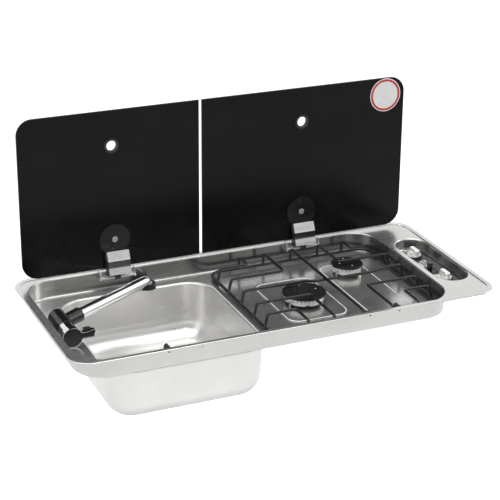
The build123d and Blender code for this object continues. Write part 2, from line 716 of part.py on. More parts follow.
with BuildPart() as grate_frame:
    with BuildLine() as frame_line:
        FilletPolyline(
            (GRATE_LEFT, GRATE_FRONT, GRATE_LOW),
            (GRATE_LEFT, GRATE_BACK, GRATE_LOW),
            (GRATE_RIGHT, GRATE_BACK, GRATE_LOW),
            (GRATE_RIGHT, GRATE_FRONT, GRATE_LOW),
            radius=FRAME_CORNER,
            close=True,
        )
    frame_path = frame_line.wires()[0]
    with BuildSketch(Plane(origin=frame_path @ 0, z_dir=frame_path % 0)):
        Circle(FRAME_WIRE_R)
    sweep(path=frame_path)

save(grate_frame, "pan_support_frame")

with BuildPart() as pan_support_bars:
    for bar in bar_parts:
        add(bar)
    add(grate_frame.part, mode=Mode.SUBTRACT)
save(pan_support_bars, "pan_support_bars")

FEET = [(x, y) for x in (GRATE_LEFT, GRATE_RIGHT) for y in (GRATE_FRONT + 40, GRATE_BACK - 40)]
STEM = 2.2                  # how far a rubber stem shows outside the front wall
STOP_THICK = 11.0
with BuildPart() as pan_support_feet:
    with BuildSketch(Plane.XY.offset(TUB_FLOOR)):
        with Locations(*FEET):
            RectangleRounded(9, 16, 3)
    extrude(amount=GRATE_LOW - TUB_FLOOR)
    for foot_x, foot_y in FEET:
        add(rod_y(foot_x, GRATE_LOW, foot_y - 10, foot_y + 10, FRAME_WIRE_R), mode=Mode.SUBTRACT)
    with BuildSketch(plane_y(TUB_FRONT + STOP_THICK)):
        with Locations((STOP_X, -7.0)):
            RectangleRounded(14, 12, 3)
    extrude(amount=STOP_THICK)
    add(rod_y(STOP_X, WALL_HOLE_Z, TUB_FRONT - STEM, TUB_FRONT, WALL_HOLE_R))
save(pan_support_feet, "pan_support_feet")

# ----------------------------------------------------------- bumpers for lids
BUMPER_TOP = 3.2
with BuildPart() as lid_bumpers:
    for bumper_x in BUMPER_HOLES_X:
        add(rod_y(bumper_x, WALL_HOLE_Z, TUB_FRONT - STEM, TUB_FRONT, WALL_HOLE_R))
    with BuildSketch(plane_y(TUB_FRONT + 15)):
        with Locations(*[(x, (BUMPER_TOP - 12) / 2) for x in BUMPER_HOLES_X]):
            SlotOverall(BUMPER_TOP + 12, 9, rotation=90)
    extrude(amount=15)
save(lid_bumpers, "lid_bumpers")

# -------------------------------------------------------------------- hinges
HINGES = (LEFT_HINGE_X, RIGHT_HINGE_X)
with BuildPart() as hinge_brackets:
    for hinge_x in HINGES:
        with BuildSketch(Plane.XY.offset(BRACKET_BOTTOM)):
            with Locations((hinge_x, (BRACKET_FRONT + TUB_BACK) / 2)):
                Rectangle(2 * BRACKET_HALF, TUB_BACK - BRACKET_FRONT)
            with Locations((hinge_x, BRACKET_FRONT)):
                Rectangle(NOTCH, 2 * (KNUCKLE_R - 1), mode=Mode.SUBTRACT)
        extrude(amount=1.0)
        with BuildSketch(plane_y(TUB_BACK)):
            with Locations((hinge_x, BRACKET_BOTTOM / 2)):
                Rectangle(2 * BRACKET_HALF, -BRACKET_BOTTOM)
        extrude(amount=BRACKET_SHEET)
        for ear_x in (hinge_x - BRACKET_HALF, hinge_x + BRACKET_HALF - BRACKET_SHEET):
            with BuildSketch(plane_x(ear_x)):
                with BuildLine():
                    Polyline(
                        (TUB_BACK, BRACKET_BOTTOM),
                        (TUB_BACK, 5.6),
                        (BRACKET_FRONT, 2.8),
                        (PIN_Y - 4.6, PIN_Z + 2.2),
                        (PIN_Y - 4.6, PIN_Z - 2.2),
                        (PIN_Y - 1.5, PIN_Z - 4.8),
                        (BRACKET_FRONT + 2, BRACKET_BOTTOM),
                        close=True,
                    )
                make_face()
            extrude(amount=BRACKET_SHEET)
        add(
            rod_x(PIN_Y, PIN_Z, hinge_x - BRACKET_HALF, hinge_x + BRACKET_HALF, PIN_R),
            mode=Mode.SUBTRACT,
        )
save(hinge_brackets, "hinge_brackets")

with BuildPart() as hinge_pins:
    for hinge_x in HINGES:
        pin_half = BRACKET_HALF + 0.8
        add(rod_x(PIN_Y, PIN_Z, hinge_x - pin_half, hinge_x + pin_half, PIN_R))
save(hinge_pins, "hinge_pins")

# ----------------------------------------------------------------------- lids
tilt = math.radians(LID_TILT)
LID_PLANE = Plane(
    origin=(0, LID_FACE_Y, LID_FOOT_Z),
    x_dir=(1, 0, 0),
    z_dir=(0, -math.cos(tilt), math.sin(tilt)),
)
BACK_DISC_R = 25.0
LIDS = (
    ("left", LEFT_LID, LEFT_HINGE_X, -1),
    ("right", RIGHT_LID, RIGHT_HINGE_X, 1),
)


def up_lid(up, out=0.0):
    """A point's Y and Z, up the lid and out from its front face."""
    y = LID_FACE_Y + up * math.sin(tilt) - out * math.cos(tilt)
    z = LID_FOOT_Z + up * math.cos(tilt) + out * math.sin(tilt)
    return y, z


for name, (left, right), hinge_x, outer_side in LIDS:
    finger_x = hinge_x - 1.8
    with BuildPart() as lid:
        with BuildSketch(LID_PLANE):
            with Locations(((left + right) / 2, LID_HEIGHT / 2)):
                Rectangle(right - left, LID_HEIGHT)
        extrude(amount=-LID_THICK)
        upright = lid.edges().filter_by(
            lambda edge: abs(abs(edge.tangent_at(0).Y) - math.cos(tilt)) < 1e-3
        )
        outer_edges = upright.sort_by(Axis.X)[:2] if outer_side < 0 else upright.sort_by(Axis.X)[-2:]
        fillet(outer_edges, LID_CORNER)
        with BuildSketch(LID_PLANE):
            with Locations((finger_x, FINGER_UP)):
                Circle(FINGER_GLASS_R)
            with Locations((hinge_x, DISC_UP)):
                Circle(6.0)
        extrude(amount=-LID_THICK, mode=Mode.SUBTRACT)
    save(lid, f"{name}_lid")

    with BuildPart() as grommet:
        with BuildSketch(LID_PLANE.offset(1.4)):
            with Locations((finger_x, FINGER_UP)):
                Circle(GROMMET_R)
        extrude(amount=-1.4)
        with BuildSketch(LID_PLANE.offset(-LID_THICK)):
            with Locations((finger_x, FINGER_UP)):
                Circle(GROMMET_R)
        extrude(amount=-1.4)
        with BuildSketch(LID_PLANE):
            with Locations((finger_x, FINGER_UP)):
                Circle(FINGER_GLASS_R)
        extrude(amount=-LID_THICK)
        with BuildSketch(LID_PLANE.offset(5)):
            with Locations((finger_x, FINGER_UP)):
                Circle(FINGER_R)
        extrude(amount=-LID_THICK - 10, mode=Mode.SUBTRACT)
    save(grommet, f"{name}_grommet")

    # The black leaf: a disc on the glass, a plate under the cover and a knuckle.
    leaf_left = hinge_x + COVER_OFFSET - COVER_WIDTH / 2 - 4.0
    leaf_right = leaf_left + 3.5
    with BuildPart() as leaf:
        with BuildSketch(LID_PLANE):
            with Locations((hinge_x, DISC_UP)):
                Circle(DISC_R)
            with Locations((hinge_x, 20.0)):
                Rectangle(44, 30)
        extrude(amount=DISC_THICK)
        with BuildSketch(plane_x(leaf_left)):
            with BuildLine():
                Polyline(
                    up_lid(33.0, 0),
                    up_lid(33.0, 4.0),
                    (171.0, 26.0),
                    (169.8, 12.0),
                    (PIN_Y - 5.0, PIN_Z + 9.0),
                    (PIN_Y - 4.0, PIN_Z + 6.5),
                    (PIN_Y + 3.0, PIN_Z + 6.5),
                    up_lid(3.0, 0),
                    close=True,
                )
            make_face()
        extrude(amount=leaf_right - leaf_left)
        with BuildSketch(plane_x(hinge_x - NOTCH / 2 + 1)):
            with BuildLine():
                Polyline(
                    (PIN_Y - 3.4, PIN_Z),
                    (PIN_Y - 3.4, PIN_Z + 12),
                    up_lid(6.0, DISC_THICK),
                    up_lid(6.0, 0),
                    up_lid(2.0, 0),
                    (PIN_Y + 4.0, PIN_Z + 5),
                    (PIN_Y + 3.4, PIN_Z),
                    close=True,
                )
            make_face()
        extrude(amount=NOTCH - 2)
        with BuildSketch(plane_x(leaf_left)):
            with BuildLine():
                Polyline(
                    (PIN_Y - 3.0, PIN_Z + 8),
                    (PIN_Y - 3.0, PIN_Z + 12),
                    up_lid(8.0, DISC_THICK),
                    up_lid(8.0, 0),
                    up_lid(4.0, 0),
                    close=True,
                )
            make_face()
        extrude(amount=COVER_WIDTH + 2)
        add(rod_x(PIN_Y, PIN_Z, hinge_x - NOTCH / 2 + 1, hinge_x + NOTCH / 2 - 1, KNUCKLE_R))
        add(
            rod_x(PIN_Y, PIN_Z, hinge_x - NOTCH, hinge_x + NOTCH, PIN_R + RUNNING),
            mode=Mode.SUBTRACT,
        )
        with BuildSketch(LID_PLANE.offset(DISC_THICK)):
            with Locations((hinge_x, DISC_UP)):
                Circle(3.0)
        extrude(amount=-DISC_THICK, mode=Mode.SUBTRACT)
    save(leaf, f"{name}_hinge_leaf")

    # The bent chrome cover over the leaf.
    cover_left = leaf_right + 0.5
    with BuildPart() as cover:
        with BuildSketch(plane_x(cover_left)):
            with BuildLine():
                outside = [
                    up_lid(34.5, DISC_THICK),
                    up_lid(35.5, 3.8),
                    (170.6, 28.0),
                    (169.6, 25.4),
                    (168.8, 13.6),
                    (163.6, 4.4),
                    (162.2, -1.6),
                ]
                inside = [
                    (163.6, -1.9),
                    (164.9, 3.8),
                    (170.2, 13.2),
                    (171.0, 24.9),
                    (171.8, 27.2),
                    up_lid(33.0, DISC_THICK + 0.1),
                ]
                Polyline(*(outside + inside), close=True)
            make_face()
        extrude(amount=COVER_WIDTH)
    save(cover, f"{name}_hinge_cover")

    with BuildPart() as back_disc:
        with BuildSketch(LID_PLANE.offset(-LID_THICK)):
            with Locations((hinge_x, DISC_UP)):
                Circle(BACK_DISC_R)
                Circle(3.0, mode=Mode.SUBTRACT)
        extrude(amount=-3.0)
    save(back_disc, f"{name}_back_disc")

    with BuildPart() as screw:
        with BuildSketch(LID_PLANE.offset(DISC_THICK + 1.6)):
            with Locations((hinge_x, DISC_UP)):
                Circle(6.0)
        extrude(amount=-1.6)
        fillet(screw.edges().sort_by(Axis.Y)[0], 1.0)
        with BuildSketch(LID_PLANE.offset(DISC_THICK + 2)):
            with Locations((hinge_x, DISC_UP)):
                Rectangle(8.0, 1.2)
                Rectangle(1.2, 8.0)
        extrude(amount=-1.4, mode=Mode.SUBTRACT)
        with BuildSketch(LID_PLANE.offset(DISC_THICK)):
            with Locations((hinge_x, DISC_UP)):
                Circle(3.0)
        extrude(amount=-DISC_THICK - LID_THICK - 3.0)
        with BuildSketch(LID_PLANE.offset(-LID_THICK - 3.0)):
            with Locations((hinge_x, DISC_UP)):
                RegularPolygon(6.5, 6)
        extrude(amount=-4.0)
    save(screw, f"{name}_lid_screw")

with BuildPart() as lid_sign:
    with BuildSketch(LID_PLANE):
        with Locations((SIGN_X, SIGN_UP)):
            Circle(SIGN_R)
    extrude(amount=0.4)
save(lid_sign, "lid_sign")

# ------------------------------------------------------------------------ tap
BASE_HALF = 14.0
BASE_FRONT = -35.0
BASE_THICK = 2.5
SADDLE_BACK = -12.0
with BuildPart() as tap_base:
    with BuildSketch(Plane.XY.offset(TUB_FLOOR)):
        with Locations((TAP_X, (BASE_FRONT + BARREL_BACK - 1) / 2)):
            RectangleRounded(2 * BASE_HALF, BARREL_BACK - 1 - BASE_FRONT, 6.0)
    extrude(amount=BASE_THICK)
    with BuildSketch(Plane.XY.offset(TUB_FLOOR)):
        with Locations((TAP_X, (BASE_FRONT + SADDLE_BACK) / 2)):
            RectangleRounded(2 * BASE_HALF - 4, SADDLE_BACK - BASE_FRONT - 2, 3.0)
    extrude(amount=11.0)
    add(
        rod_y(TAP_X, TAP_Z, RING_FRONT, ELBOW_FRONT, BARREL_R - 0.35), mode=Mode.SUBTRACT
    )
save(tap_base, "tap_base")

THREAD_LOW = -54.0
TAIL_LOW = -75.0
with BuildPart() as tap_tail:
    add(rod(TAP_X, TAP_HOLE_Y, THREAD_LOW, TUB_FLOOR, TAP_HOLE_R - 0.5))
    add(rod(TAP_X, TAP_HOLE_Y, TAIL_LOW, THREAD_LOW, 5.5))
    add(rod(TAP_X, TAP_HOLE_Y, TAIL_LOW, TUB_FLOOR - 6, 3.5), mode=Mode.SUBTRACT)
save(tap_tail, "tap_tail")

with BuildPart() as tap_nut:
    with BuildSketch(Plane.XY.offset(TUB_FLOOR - SHEET - 9)):
        with Locations((TAP_X, TAP_HOLE_Y)):
            RegularPolygon(17.5, 6)
            Circle(TAP_HOLE_R - 0.5, mode=Mode.SUBTRACT)
    extrude(amount=9)
save(tap_nut, "tap_nut")

CORE_BACK = BARREL_BACK - 5.0
with BuildPart() as tap_ring:
    add(rod_y(TAP_X, TAP_Z, RING_FRONT, ELBOW_FRONT - 0.4, BARREL_R - 0.4))
    fillet(tap_ring.edges().filter_by(GeomType.CIRCLE).sort_by(Edge.length)[-2:], 0.8)
    add(rod_y(TAP_X, TAP_Z, LEVER_FRONT + 6, CORE_BACK, BARREL_CORE_R))
save(tap_ring, "tap_ring")

GROOVE_Y = 12.0              # fine groove round the elbow
turn = math.radians(SPOUT_TURN)
SPOUT_DIR = (math.cos(turn), math.sin(turn), 0)
SPOUT_PLANE = Plane(
    origin=(TAP_X, SPOUT_Y, SPOUT_DROP), x_dir=(-math.sin(turn), math.cos(turn), 0), z_dir=SPOUT_DIR
)
with BuildPart() as tap_elbow:
    add(rod_y(TAP_X, TAP_Z, ELBOW_FRONT, BARREL_BACK, BARREL_R + 0.6))
    fillet(tap_elbow.edges().filter_by(GeomType.CIRCLE).sort_by(Axis.Y)[-1], 3.0)
    with BuildSketch(SPOUT_PLANE.offset(4)):
        Circle(SOCKET_R - 1.5)
    with BuildSketch(SPOUT_PLANE.offset(SPOUT_START)):
        Circle(SOCKET_R)
    loft()
    add(
        rod_y(TAP_X, TAP_Z, ELBOW_FRONT - 9, CORE_BACK + 0.4, BARREL_CORE_R + RUNNING),
        mode=Mode.SUBTRACT,
    )
    add(
        rod_y(TAP_X, TAP_Z, GROOVE_Y, GROOVE_Y + 0.8, BARREL_R + 2, BARREL_R + 0.1),
        mode=Mode.SUBTRACT,
    )
    with BuildSketch(SPOUT_PLANE.offset(SPOUT_START)):
        Circle(SPOUT_R)
    extrude(amount=-18, mode=Mode.SUBTRACT)
save(tap_elbow, "tap_elbow")

END_BEND = 13.0
SPOUT_END = SPOUT_LENGTH - END_BEND / 2


def spout_point(along, z):
    """A point above the spout's heading."""
    return (TAP_X + along * SPOUT_DIR[0], SPOUT_Y + along * SPOUT_DIR[1], z)


spout_route = [
    spout_point(SPOUT_START - 18, SPOUT_DROP),
    spout_point(SPOUT_END, SPOUT_DROP),
    spout_point(SPOUT_END, NOZZLE_BOTTOM + 2),
]
spout_outside = round_bar(spout_route, SPOUT_R, END_BEND)
spout_inside = round_bar(spout_route, SPOUT_BORE, END_BEND)
with BuildPart() as tap_spout:
    add(spout_outside)
    add(spout_inside, mode=Mode.SUBTRACT)
save(tap_spout, "tap_spout")

nozzle_x, nozzle_y, _ = spout_point(SPOUT_END, 0)
with BuildPart() as tap_nozzle:
    with BuildSketch(Plane.XY.offset(NOZZLE_BOTTOM)):
        with Locations((nozzle_x, nozzle_y)):
            Circle(NOZZLE_R)
    with BuildSketch(Plane.XY.offset(NOZZLE_BOTTOM + NOZZLE_HEIGHT)):
        with Locations((nozzle_x, nozzle_y)):
            Circle(NOZZLE_TOP_R)
    loft()
    add(spout_outside, mode=Mode.SUBTRACT)
    add(rod(nozzle_x, nozzle_y, NOZZLE_BOTTOM, NOZZLE_BOTTOM + 2, 6.0), mode=Mode.SUBTRACT)
save(tap_nozzle, "tap_nozzle")

ARM_BACK = -43.0
FACE_INSET = 1.2            # bright rim left round the lever's black face
FACE_DEPTH = 1.0
FACE_PROUD = 0.2
ARM_POINTS = (
    (12.0, 12.0), (20.0, 8.8), (25.0, 8.2), (33.0, 9.2), (40.0, 11.4), (44.5, 11.2),
    (46.5, 7.0), (44.0, 3.4), (40.6, 2.2), (33.0, 2.0), (24.0, 0.6), (18.0, -5.0),
)
FACE_POINTS = (
    (11.0, 11.0), (19.6, 7.6), (25.0, 7.0), (33.1, 8.0), (40.2, 10.2), (43.8, 10.0),
    (45.2, 7.1), (43.6, 3.0), (40.6, 1.8), (33.0, 1.6), (24.0, 0.2), (17.6, -5.4),
)


def lever_slab(back, front, radius, points):
    """The lever's disc and arm as one slab, the arm's points taken from the disc's axis."""
    with BuildPart() as slab:
        with BuildSketch(plane_y(back)):
            with BuildLine():
                Polyline(*[(TAP_X + x, TAP_Z + z) for x, z in points], close=True)
            make_face()
            with Locations((TAP_X, TAP_Z)):
                Circle(radius)
        extrude(amount=back - front)
    return slab.part


FACE_BACK = LEVER_FRONT + FACE_DEPTH
FACE_R = LEVER_R - FACE_INSET
with BuildPart() as tap_lever:
    add(rod_y(TAP_X, TAP_Z, LEVER_FRONT, RING_FRONT - 0.4, LEVER_R))
    add(lever_slab(ARM_BACK, LEVER_FRONT, LEVER_R, ARM_POINTS))
    add(lever_slab(FACE_BACK, LEVER_FRONT - 1, FACE_R, FACE_POINTS), mode=Mode.SUBTRACT)
    add(
        rod_y(TAP_X, TAP_Z, LEVER_FRONT + 5, RING_FRONT, BARREL_CORE_R + RUNNING),
        mode=Mode.SUBTRACT,
    )
save(tap_lever, "tap_lever")

with BuildPart() as tap_lever_face:
    add(lever_slab(FACE_BACK, LEVER_FRONT - FACE_PROUD, FACE_R, FACE_POINTS))
save(tap_lever_face, "tap_lever_face")

SIDE_Y = -12.0
SIDE_PLATE_LOW = TUB_FLOOR + BASE_THICK
SIDE_PLATE_THICK = 1.6
with BuildPart() as tap_side_plate:
    with BuildSketch(Plane.XY.offset(SIDE_PLATE_LOW)):
        with Locations((TAP_X + 33.2, SIDE_Y)):
            RectangleRounded(42, 26, 2)
    extrude(amount=SIDE_PLATE_THICK)
    with BuildSketch(Plane.XY.offset(SIDE_PLATE_LOW)):
        with Locations((TAP_X + 53, SIDE_Y)):
            Rectangle(SIDE_PLATE_THICK, 22)
    extrude(amount=11)
save(tap_side_plate, "tap_side_plate")

with BuildPart() as tap_side_block:
    with BuildSketch(Plane.XY.offset(SIDE_PLATE_LOW + SIDE_PLATE_THICK)):
        with Locations((TAP_X + 42, SIDE_Y)):
            RectangleRounded(14, 20, 1.5)
    extrude(amount=12)
save(tap_side_block, "tap_side_block")
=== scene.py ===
import json
import math
import random

import bmesh
import bpy
from mathutils import Matrix, Vector

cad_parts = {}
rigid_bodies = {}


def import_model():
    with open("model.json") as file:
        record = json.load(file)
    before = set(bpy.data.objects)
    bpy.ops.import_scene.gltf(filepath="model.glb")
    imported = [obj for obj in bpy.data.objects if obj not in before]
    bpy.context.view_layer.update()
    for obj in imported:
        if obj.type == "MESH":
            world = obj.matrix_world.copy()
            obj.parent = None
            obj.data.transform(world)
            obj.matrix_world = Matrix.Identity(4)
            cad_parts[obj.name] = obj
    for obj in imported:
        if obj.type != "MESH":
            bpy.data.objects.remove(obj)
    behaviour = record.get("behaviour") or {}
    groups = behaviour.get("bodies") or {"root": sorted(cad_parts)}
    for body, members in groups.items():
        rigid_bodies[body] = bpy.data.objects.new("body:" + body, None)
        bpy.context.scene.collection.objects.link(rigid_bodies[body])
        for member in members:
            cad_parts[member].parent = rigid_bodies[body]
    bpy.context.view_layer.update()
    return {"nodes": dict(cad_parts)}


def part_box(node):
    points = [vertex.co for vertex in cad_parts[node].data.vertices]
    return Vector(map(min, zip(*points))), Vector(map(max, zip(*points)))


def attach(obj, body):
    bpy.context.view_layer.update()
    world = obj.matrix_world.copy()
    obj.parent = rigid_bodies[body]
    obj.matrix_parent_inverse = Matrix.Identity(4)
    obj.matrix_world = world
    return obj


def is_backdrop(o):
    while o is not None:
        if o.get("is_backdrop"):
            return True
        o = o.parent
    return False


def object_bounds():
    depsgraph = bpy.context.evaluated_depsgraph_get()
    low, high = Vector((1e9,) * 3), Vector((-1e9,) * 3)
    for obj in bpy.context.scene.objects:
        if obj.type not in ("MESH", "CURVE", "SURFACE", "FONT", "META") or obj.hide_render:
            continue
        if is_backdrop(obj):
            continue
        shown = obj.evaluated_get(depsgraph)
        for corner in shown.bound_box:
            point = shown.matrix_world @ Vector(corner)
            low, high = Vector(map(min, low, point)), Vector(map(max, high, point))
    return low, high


for left_over in list(bpy.data.objects):
    bpy.data.objects.remove(left_over, do_unlink=True)

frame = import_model()
NODES = frame["nodes"]

# One millimetre, in the frame's metres.
MM = 0.001

# ------------------------------------------------------------------ materials
# How rough all noise is, and how far a seed moves it along X, Y and Z.
NOISE_ROUGHNESS = 0.55
SEED_SPREAD = (1.0, 0.37, 0.71)


class Nodes:
    """Short ways to add nodes to one node tree."""

    def __init__(self, tree):
        self.tree = tree

    def node(self, kind, **fields):
        """A new node with its fields set."""
        made = self.tree.nodes.new(kind)
        for field, value in fields.items():
            setattr(made, field, value)
        return made

    def link(self, source, target):
        self.tree.links.new(source, target)

    def ramp(self, value, low, high, to_low=0.0, to_high=1.0, curve="LINEAR"):
        """A value mapped from one span to another, clamped."""
        span = self.node("ShaderNodeMapRange", interpolation_type=curve)
        span.inputs["From Min"].default_value = low
        span.inputs["From Max"].default_value = high
        span.inputs["To Min"].default_value = to_low
        span.inputs["To Max"].default_value = to_high
        self.link(value, span.inputs["Value"])
        return span.outputs["Result"]

    def math(self, operation, a, b):
        """Two values or numbers joined by a math operation."""
        made = self.node("ShaderNodeMath", operation=operation)
        for socket, value in zip(made.inputs, (a, b)):
            if isinstance(value, (int, float)):
                socket.default_value = value
            else:
                self.link(value, socket)
        return made.outputs[0]

    def split(self, vector):
        """The three coordinates of a vector, by letter."""
        parts = self.node("ShaderNodeSeparateXYZ")
        self.link(vector, parts.inputs[0])
        return parts.outputs

    def mix(self, share, first, second):
        """Two colours mixed by a value: each is a colour or the output of a node."""
        made = self.node("ShaderNodeMix", data_type="RGBA")
        self.link(share, made.inputs[0])
        for socket, value in ((made.inputs[6], first), (made.inputs[7], second)):
            if isinstance(value, tuple):
                socket.default_value = (*value, 1.0)
            else:
                self.link(value, socket)
        return made.outputs[2]

    def fade(self, value, low, high, first, second):
        """One colour that turns into another as a value goes from low to high."""
        return self.mix(self.ramp(value, low, high), first, second)


class Shader(Nodes):
    """A node material built around one Principled shader."""

    def __init__(self, name, colour, metallic=0.0, roughness=0.5, **sockets):
        self.mat = bpy.data.materials.new(name)
        self.mat.use_nodes = True
        super().__init__(self.mat.node_tree)
        self.bsdf = self.tree.nodes["Principled BSDF"]
        self.bsdf.inputs["Base Color"].default_value = (*colour, 1.0)
        self.bsdf.inputs["Metallic"].default_value = metallic
        self.bsdf.inputs["Roughness"].default_value = roughness
        for socket, value in sockets.items():
            self.bsdf.inputs[socket.replace("_", " ")].default_value = value
        self.place = self.node("ShaderNodeTexCoord").outputs["Object"]
        self.normal = None

    def noise(self, scale, detail, stretch=(1, 1, 1), seed=0.0):
        """Noise over the row frame, with more cycles per metre where stretch is high."""
        mapping = self.node("ShaderNodeMapping")
        mapping.inputs["Scale"].default_value = stretch
        mapping.inputs["Location"].default_value = [seed * share for share in SEED_SPREAD]
        self.link(self.place, mapping.inputs["Vector"])
        noise = self.node("ShaderNodeTexNoise")
        noise.inputs["Scale"].default_value = scale
        noise.inputs["Detail"].default_value = detail
        noise.inputs["Roughness"].default_value = NOISE_ROUGHNESS
        self.link(mapping.outputs["Vector"], noise.inputs["Vector"])
        return noise.outputs["Fac"]

    def axis(self, letter):
        """One coordinate of the row frame, in metres."""
        return self.split(self.place)[letter]

    def colour(self, value):
        """Takes the base colour from a node's output."""
        self.link(value, self.bsdf.inputs["Base Color"])

    def rough(self, value):
        """Takes the roughness from a node's output."""
        self.link(value, self.bsdf.inputs["Roughness"])

    def bump(self, height, metres, strength):
        """Adds relief of that depth to the relief so far."""
        made = self.node("ShaderNodeBump")
        made.inputs["Distance"].default_value = metres
        made.inputs["Strength"].default_value = strength
        self.link(height, made.inputs["Height"])
        if self.normal is not None:
            self.link(self.normal, made.inputs["Normal"])
        self.normal = made.outputs["Normal"]
        self.link(self.normal, self.bsdf.inputs["Normal"])


# Finish of the tray. A fade is a span of heights or of places along X, in metres, over
# which one finish turns into the other.
POLISHED_ROUGH = 0.20
DECK_HEIGHT_FADE = (-0.037, -0.030)
DECK_LEFT_FADE = (-0.055, -0.045)
# Painted shade: this dark colour on the tray's inner walls, but for those at the left end, stands
# in for their shade and dark reflections.
WALL_PAINTED_SHADE = (0.21, 0.208, 0.204)
WALL_FOOT_FADE = (-0.040, -0.034)
WALL_TOP_FADE = (-0.0025, -0.0015)
WALL_LEFT_FADE = (-0.41, -0.36)
# A wall faces the middle of the unit where its normal times its place is below this.
INWARD_FADE = (-0.12, -0.08)

# Plating of the hinge covers, the painted shade in the hollow between their slanted faces, and the
# heights that this painted shade fades in and out over.
COVER_BRIGHT = (0.58, 0.58, 0.58)
COVER_WORN = (0.48, 0.48, 0.48)
COVER_PAINTED_SHADE = (0.13, 0.13, 0.13)
SHADE_LOW_FADE = (0.0110, 0.0120)
SHADE_HIGH_FADE = (0.0252, 0.0262)


def shaded_inner_wall(shader):
    """1 where painted shade darkens the walls that face the middle of the unit, but for those at
    its left end.
    """
    coordinates = shader.node("ShaderNodeTexCoord")
    facing = shader.node("ShaderNodeVectorMath", operation="DOT_PRODUCT")
    shader.link(coordinates.outputs["Normal"], facing.inputs[0])
    shader.link(shader.place, facing.inputs[1])
    inward = shader.ramp(facing.outputs["Value"], *INWARD_FADE, 1.0, 0.0)
    right = shader.ramp(shader.axis("X"), *WALL_LEFT_FADE)
    above = shader.ramp(shader.axis("Z"), *WALL_FOOT_FADE)
    below = shader.ramp(shader.axis("Z"), *WALL_TOP_FADE, 1.0, 0.0)
    band = shader.math("MULTIPLY", above, below)
    return shader.math("MULTIPLY", band, shader.math("MULTIPLY", inward, right))


def stainless(name, light, dark, roughness, stretch, pressed=False):
    """Stainless sheet: fine drawn streaks, faint smudges and a slow waviness.

    A pressed sheet has painted shade on its inner walls, and a polished deck under the pan support.
    """
    shader = Shader(name, light, metallic=0.86, roughness=roughness)
    streaks = shader.noise(1.0, detail=4, stretch=stretch)
    smudge = shader.noise(9.0, detail=5, seed=3.1)
    tint = shader.fade(smudge, 0.35, 0.7, light, dark)
    base = roughness
    if pressed:
        # Painted shade: the inner walls take the dark colour.
        tint = shader.mix(shaded_inner_wall(shader), tint, WALL_PAINTED_SHADE)
        low = shader.ramp(shader.axis("Z"), *DECK_HEIGHT_FADE, 1.0, 0.0)
        right = shader.ramp(shader.axis("X"), *DECK_LEFT_FADE)
        base = shader.ramp(shader.math("MULTIPLY", low, right), 0.0, 1.0, roughness, POLISHED_ROUGH)
    shader.colour(tint)
    uneven = shader.math(
        "ADD",
        shader.ramp(streaks, 0.3, 0.7, -0.05, 0.05),
        shader.ramp(smudge, 0.3, 0.7, -0.03, 0.05),
    )
    shader.rough(shader.math("ADD", uneven, base))
    shader.bump(streaks, 0.00002, 0.35)
    shader.bump(shader.noise(14.0, detail=1, seed=8.0), 0.0006, 0.10)
    return shader.mat


def plastic(name, colour, lighter, roughness, grain=0.00004):
    """Moulded plastic with a fine spark-eroded grain and handled spots."""
    shader = Shader(name, colour, roughness=roughness)
    rub = shader.noise(60.0, detail=4, seed=1.7)
    shader.colour(shader.fade(rub, 0.45, 0.75, colour, lighter))
    shader.rough(shader.ramp(rub, 0.3, 0.75, roughness - 0.06, roughness + 0.1))
    shader.bump(shader.noise(1800.0, detail=2), grain, 0.5)
    return shader.mat


def chrome(
    name, roughness=0.06, bright=(0.84, 0.84, 0.85), worn=(0.70, 0.70, 0.71), metallic=1.0
):
    """Bright plating with faint wiping marks."""
    shader = Shader(name, bright, metallic=metallic, roughness=roughness)
    wipe = shader.noise(30.0, detail=5, stretch=(1, 1, 3), seed=5.0)
    shader.rough(shader.ramp(wipe, 0.35, 0.75, roughness, roughness + 0.10))
    shader.colour(shader.fade(wipe, 0.4, 0.8, bright, worn))
    shader.bump(shader.noise(25.0, detail=1, seed=2.0), 0.0003, 0.08)
    return shader.mat


def cover_steel(name):
    """The hinge covers' plating, with painted shade in the hollow between the two slanted faces."""
    shader = Shader(name, COVER_BRIGHT, metallic=1.0, roughness=0.20)
    wipe = shader.noise(30.0, detail=5, stretch=(1, 1, 3), seed=5.0)
    tint = shader.fade(wipe, 0.4, 0.8, COVER_BRIGHT, COVER_WORN)
    above = shader.ramp(shader.axis("Z"), *SHADE_LOW_FADE)
    below = shader.ramp(shader.axis("Z"), *SHADE_HIGH_FADE, 1.0, 0.0)
    # Painted shade: the band between the two heights takes a dark colour.
    shader.colour(shader.mix(shader.math("MULTIPLY", above, below), tint, COVER_PAINTED_SHADE))
    shader.rough(shader.ramp(wipe, 0.35, 0.75, 0.20, 0.30))
    shader.bump(shader.noise(25.0, detail=1, seed=2.0), 0.0003, 0.08)
    return shader.mat


def enamel(name, colour=(0.012, 0.012, 0.012), shine=0.25):
    """Black vitreous enamel with orange peel and rubbed spots."""
    shader = Shader(name, colour, roughness=0.28, Specular_IOR_Level=shine)
    worn = shader.noise(220.0, detail=4, seed=4.4)
    shader.colour(shader.fade(worn, 0.55, 0.8, colour, (0.05, 0.048, 0.045)))
    shader.rough(shader.ramp(worn, 0.3, 0.7, 0.22, 0.42))
    shader.bump(shader.noise(700.0, detail=2), 0.00006, 0.4)
    return shader.mat


def cast_alloy(name):
    """Bead-blasted aluminium with grey patches."""
    shader = Shader(name, (0.97, 0.96, 0.95), metallic=0.35, roughness=0.34)
    soot = shader.noise(90.0, detail=5, seed=6.0)
    shader.colour(shader.fade(soot, 0.4, 0.8, (0.97, 0.96, 0.95), (0.84, 0.82, 0.80)))
    shader.rough(shader.ramp(soot, 0.3, 0.8, 0.32, 0.55))
    shader.bump(shader.noise(1500.0, detail=2), 0.00005, 0.6)
    return shader.mat


